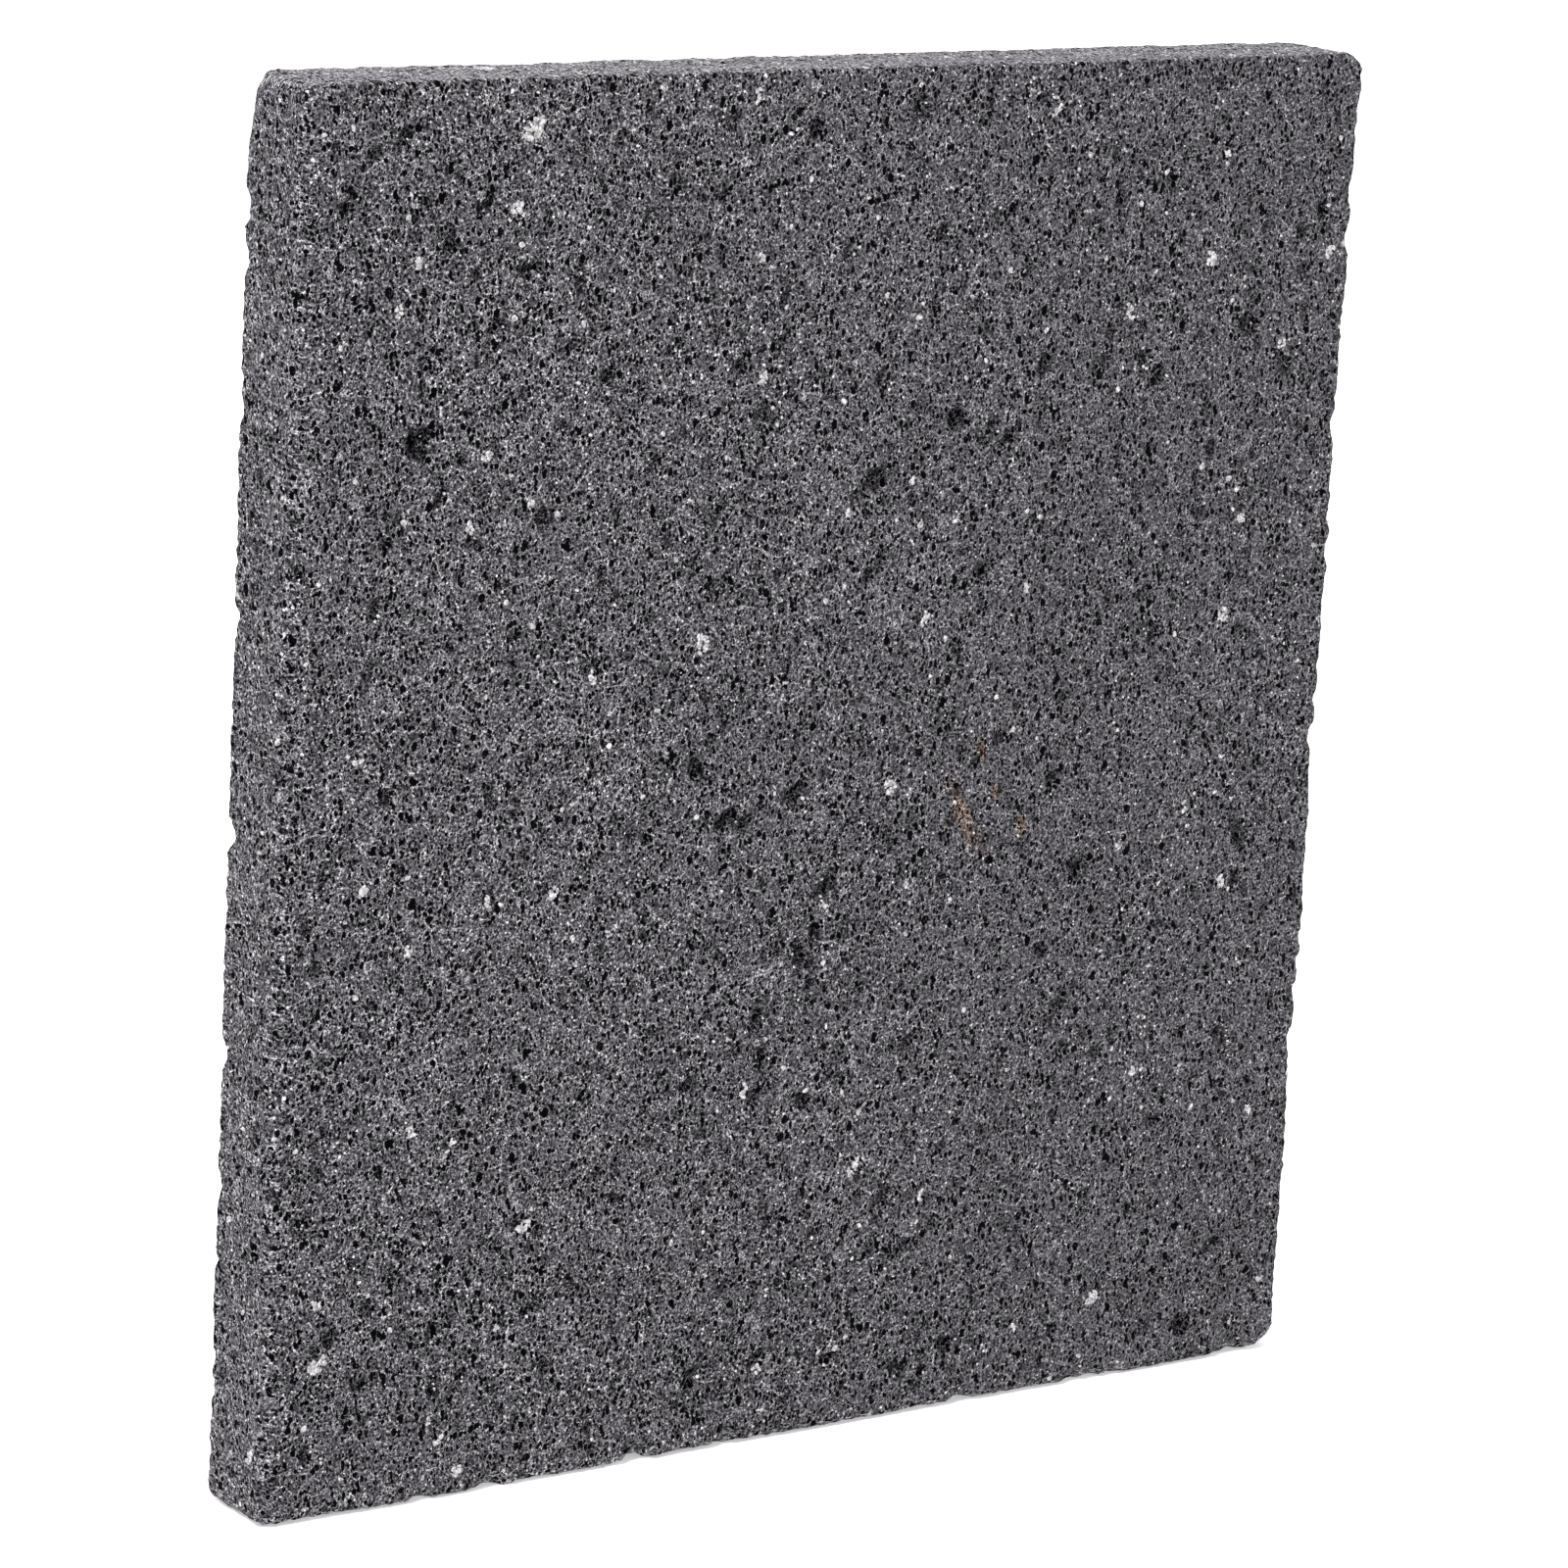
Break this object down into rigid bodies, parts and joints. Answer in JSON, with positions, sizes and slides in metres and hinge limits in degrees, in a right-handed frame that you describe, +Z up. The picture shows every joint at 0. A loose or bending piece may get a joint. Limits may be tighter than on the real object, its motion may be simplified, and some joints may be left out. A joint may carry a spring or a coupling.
{
  "type": "basalt massage stone",
  "caption": "Flat, nearly square slab of dark porous basalt with eased edges, warmed and laid on or rubbed over the body in stone massage.",
  "frame": {"origin": "on the resting surface, under the middle of the slab as it stands on its bottom edge", "axes": "+X across the width, +Y through the thickness from the front face to the back face, +Z up the height"},
  "size_m": [0.117, 0.01, 0.13],
  "materials": {
    "basalt": "dry, uncoated vesicular basalt: matt, foamy and open-pored on the broad faces, sawn and slightly smoother on the edges"
  },
  "bodies": {
    "root": {"stone_slab": "basalt"}
  },
  "joints": []
}
